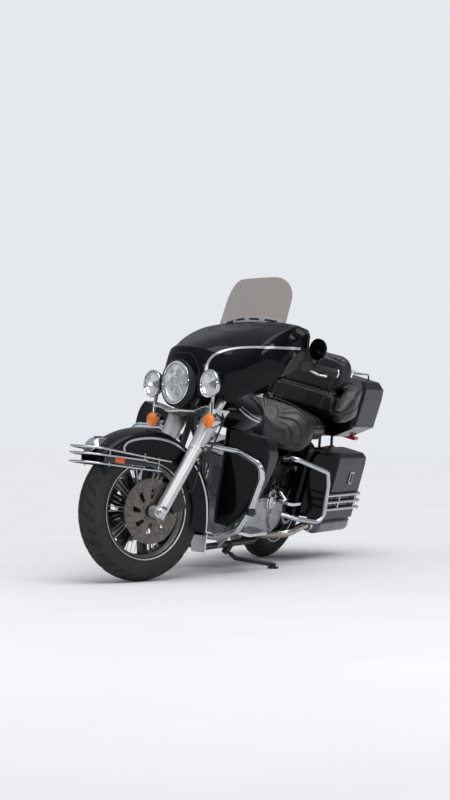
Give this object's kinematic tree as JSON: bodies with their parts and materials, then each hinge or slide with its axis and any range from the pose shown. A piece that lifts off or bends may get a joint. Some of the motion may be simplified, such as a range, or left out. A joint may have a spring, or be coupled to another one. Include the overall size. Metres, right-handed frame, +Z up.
{
  "type": "touring cruiser motorcycle",
  "caption": "Heavy touring motorcycle with a handlebar fairing, leg shields, side cases, a top trunk and a backrest, leaning on its side stand with the front wheel turned.",
  "frame": {"origin": "centre of the bounding box's bottom face, on the ground", "axes": "+X towards the front of the motorcycle, +Y to the rider's left, +Z up; the machine leans 16 degrees to its left on the side stand"},
  "size_m": [2.4506, 1.0968, 1.3943],
  "materials": {
    "tyre": "satin",
    "wheel_black": "gloss",
    "steel": "brushed",
    "satin_alloy": "satin",
    "engine_grey": "satin",
    "chrome": "polished",
    "black_metal": "satin",
    "black_paint": "gloss",
    "black_body_plastic": "gloss",
    "matte_black": "matte",
    "rubber": "matte",
    "smoke_screen": "clear",
    "amber_lens": "gloss",
    "red_lens": "gloss",
    "leather": "satin"
  },
  "bodies": {
    "chassis": {"rear_axle": "steel", "frame": "black_metal", "swingarm": "black_metal", "engine": "engine_grey", "primary_cover": "satin_alloy", "air_cleaner": "chrome", "horn": "chrome", "drive_belt": "rubber", "rear_shocks": "chrome", "exhaust_pipes": "chrome", "mufflers": "chrome", "fuel_tank": "black_paint", "tank_console": "matte_black", "rider_seat": "leather", "passenger_seat": "leather", "passenger_backrest": "leather", "rear_fender": "black_paint", "saddlebags": "black_body_plastic", "trunk": "black_body_plastic", "rear_lamps": "red_lens", "lower_fairings": "black_body_plastic", "saddlebag_guards": "chrome", "engine_guard": "chrome", "foot_controls": "black_metal", "side_covers": "black_paint"},
    "front_end": {"front_axle": "steel", "fork_legs": "satin_alloy", "fork_clamps": "black_metal", "fork_covers": "satin_alloy", "handlebar": "chrome", "grips": "rubber", "hand_levers": "satin_alloy", "outer_fairing": "black_body_plastic", "inner_fairing": "matte_black", "windshield": "smoke_screen", "headlamp": "chrome", "light_bar": "chrome", "spot_lamps": "chrome", "front_turn_signals": "amber_lens", "mirrors": "matte_black", "front_fender": "black_paint", "fender_lamp": "chrome", "fender_rails": "chrome", "mud_flap": "satin_alloy", "front_calipers": "black_metal", "brake_hoses": "rubber"},
    "front_wheel": {"front_tyre": "tyre", "front_cast_wheel": "wheel_black", "front_brake_discs": "steel"},
    "rear_wheel": {"rear_tyre": "tyre", "rear_cast_wheel": "wheel_black", "rear_brake_disc": "steel", "rear_pulley": "satin_alloy"},
    "side_stand": {"side_stand": "black_metal"},
    "trunk_lid": {"trunk_lid": "black_body_plastic", "trunk_rail": "chrome"},
    "left_bag_lid": {"saddlebag_lid_left": "black_body_plastic"},
    "right_bag_lid": {"saddlebag_lid_right": "black_body_plastic"}
  },
  "joints": [
    {"name": "steering", "type": "hinge", "parent": "chassis", "child": "front_end", "pos_m": [0.62892, -0.07295, 0.83174], "axis": [-0.4437, 0.2477, 0.8613], "range_deg": [0, 62]},
    {"name": "front_wheel_spin", "type": "hinge", "parent": "front_end", "child": "front_wheel", "pos_m": [0.89182, -0.21981, 0.31797], "axis": [0.463, 0.8862, -0.0164], "continuous": true},
    {"name": "rear_wheel_spin", "type": "hinge", "parent": "chassis", "child": "rear_wheel", "pos_m": [-0.72137, -0.22069, 0.3082], "axis": [0.0017, 0.9613, -0.2756], "continuous": true},
    {"name": "side_stand_swing", "type": "hinge", "parent": "chassis", "child": "side_stand", "pos_m": [0.07, -0.15854, 0.08718], "axis": [-0.371, 0.4529, 0.8107], "range_deg": [0, 75]},
    {"name": "trunk_lid_hinge", "type": "hinge", "parent": "chassis", "child": "trunk_lid", "pos_m": [-0.72557, -0.32196, 0.99261], "axis": [1, 0, 0.0061], "range_deg": [0, 75]},
    {"name": "left_bag_lid_hinge", "type": "hinge", "parent": "chassis", "child": "left_bag_lid", "pos_m": [-0.7225, 0.15888, 0.49272], "axis": [-1, 0, -0.0061], "range_deg": [0, 75]},
    {"name": "right_bag_lid_hinge", "type": "hinge", "parent": "chassis", "child": "right_bag_lid", "pos_m": [-0.72356, -0.44479, 0.66582], "axis": [1, 0, 0.0061], "range_deg": [0, 75]}
  ]
}
